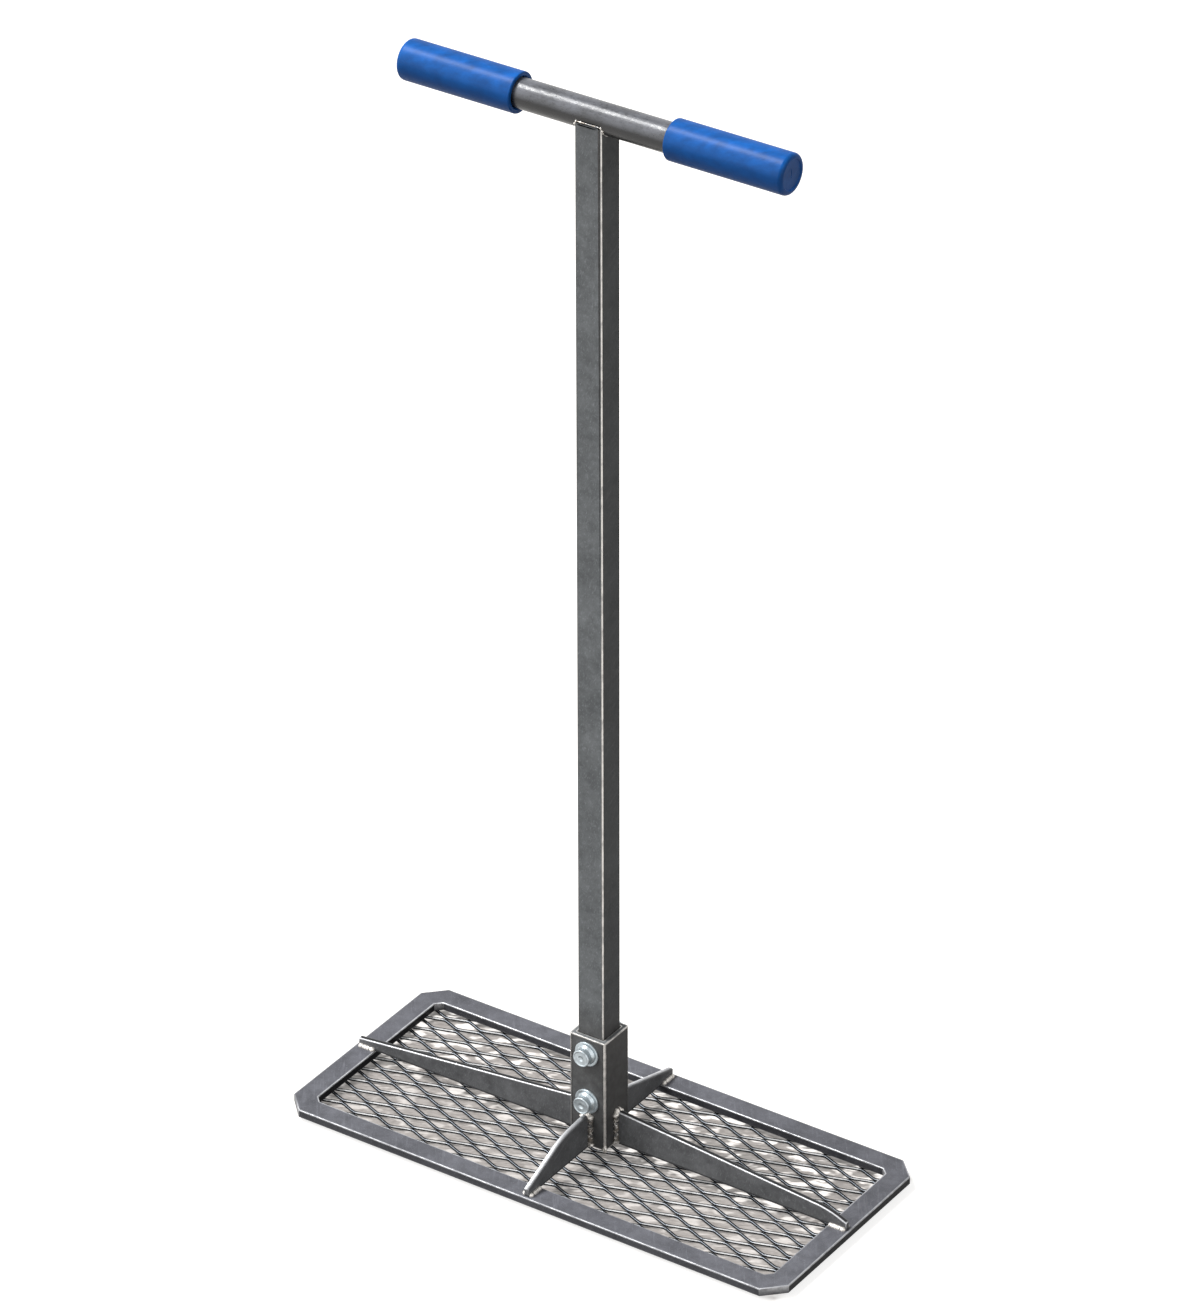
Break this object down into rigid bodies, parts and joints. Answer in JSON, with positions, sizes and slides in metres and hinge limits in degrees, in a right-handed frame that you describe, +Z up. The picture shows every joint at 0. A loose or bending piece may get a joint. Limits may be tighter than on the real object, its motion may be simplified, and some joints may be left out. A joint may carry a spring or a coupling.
{
  "type": "concrete tamper",
  "caption": "Concrete tamper, or jitterbug: flat steel frame over expanded mesh, ribbed socket, and a square pole bolted under a crossbar with plastic hand grips.",
  "frame": {"origin": "on the floor, under the middle of the pole and of the base", "axes": "+Z up along the pole, X along the base's long side and the crossbar, -Y the front, where the bolt heads are"},
  "size_m": [0.63, 0.28, 1.2447],
  "materials": {
    "frame_steel": "mottled mill scale",
    "mesh_steel": "satin",
    "plate_steel": "mottled mill scale",
    "tube_steel": "mottled mill scale",
    "bar_steel": "satin, drawn lengthwise",
    "weld_steel": "rippled satin",
    "zinc": "bright zinc plate",
    "grip_plastic": "satin"
  },
  "bodies": {
    "tamper": {"base_frame": "frame_steel", "expanded_mesh": "mesh_steel", "mesh_stitches": "weld_steel", "left_rib": "plate_steel", "right_rib": "plate_steel", "front_gusset": "plate_steel", "back_gusset": "plate_steel", "plate_frame_welds": "weld_steel", "socket": "tube_steel", "plate_socket_welds": "weld_steel", "pole": "tube_steel", "crossbar": "bar_steel", "pole_crossbar_welds": "weld_steel", "left_grip": "grip_plastic", "right_grip": "grip_plastic"},
    "upper_bolt": {"upper_bolt": "zinc", "upper_head_washer": "zinc"},
    "upper_nut": {"upper_nut": "zinc", "upper_nut_washer": "zinc"},
    "lower_bolt": {"lower_bolt": "zinc", "lower_head_washer": "zinc"},
    "lower_nut": {"lower_nut": "zinc", "lower_nut_washer": "zinc"}
  },
  "joints": [
    {"name": "upper_bolt_out", "type": "slide", "parent": "tamper", "child": "upper_bolt", "axis": [0, -1, 0], "range_m": [0, 0.065]},
    {"name": "upper_nut_off", "type": "slide", "parent": "tamper", "child": "upper_nut", "axis": [0, 1, 0], "range_m": [0, 0.016]},
    {"name": "lower_bolt_out", "type": "slide", "parent": "tamper", "child": "lower_bolt", "axis": [0, -1, 0], "range_m": [0, 0.065]},
    {"name": "lower_nut_off", "type": "slide", "parent": "tamper", "child": "lower_nut", "axis": [0, 1, 0], "range_m": [0, 0.016]}
  ]
}
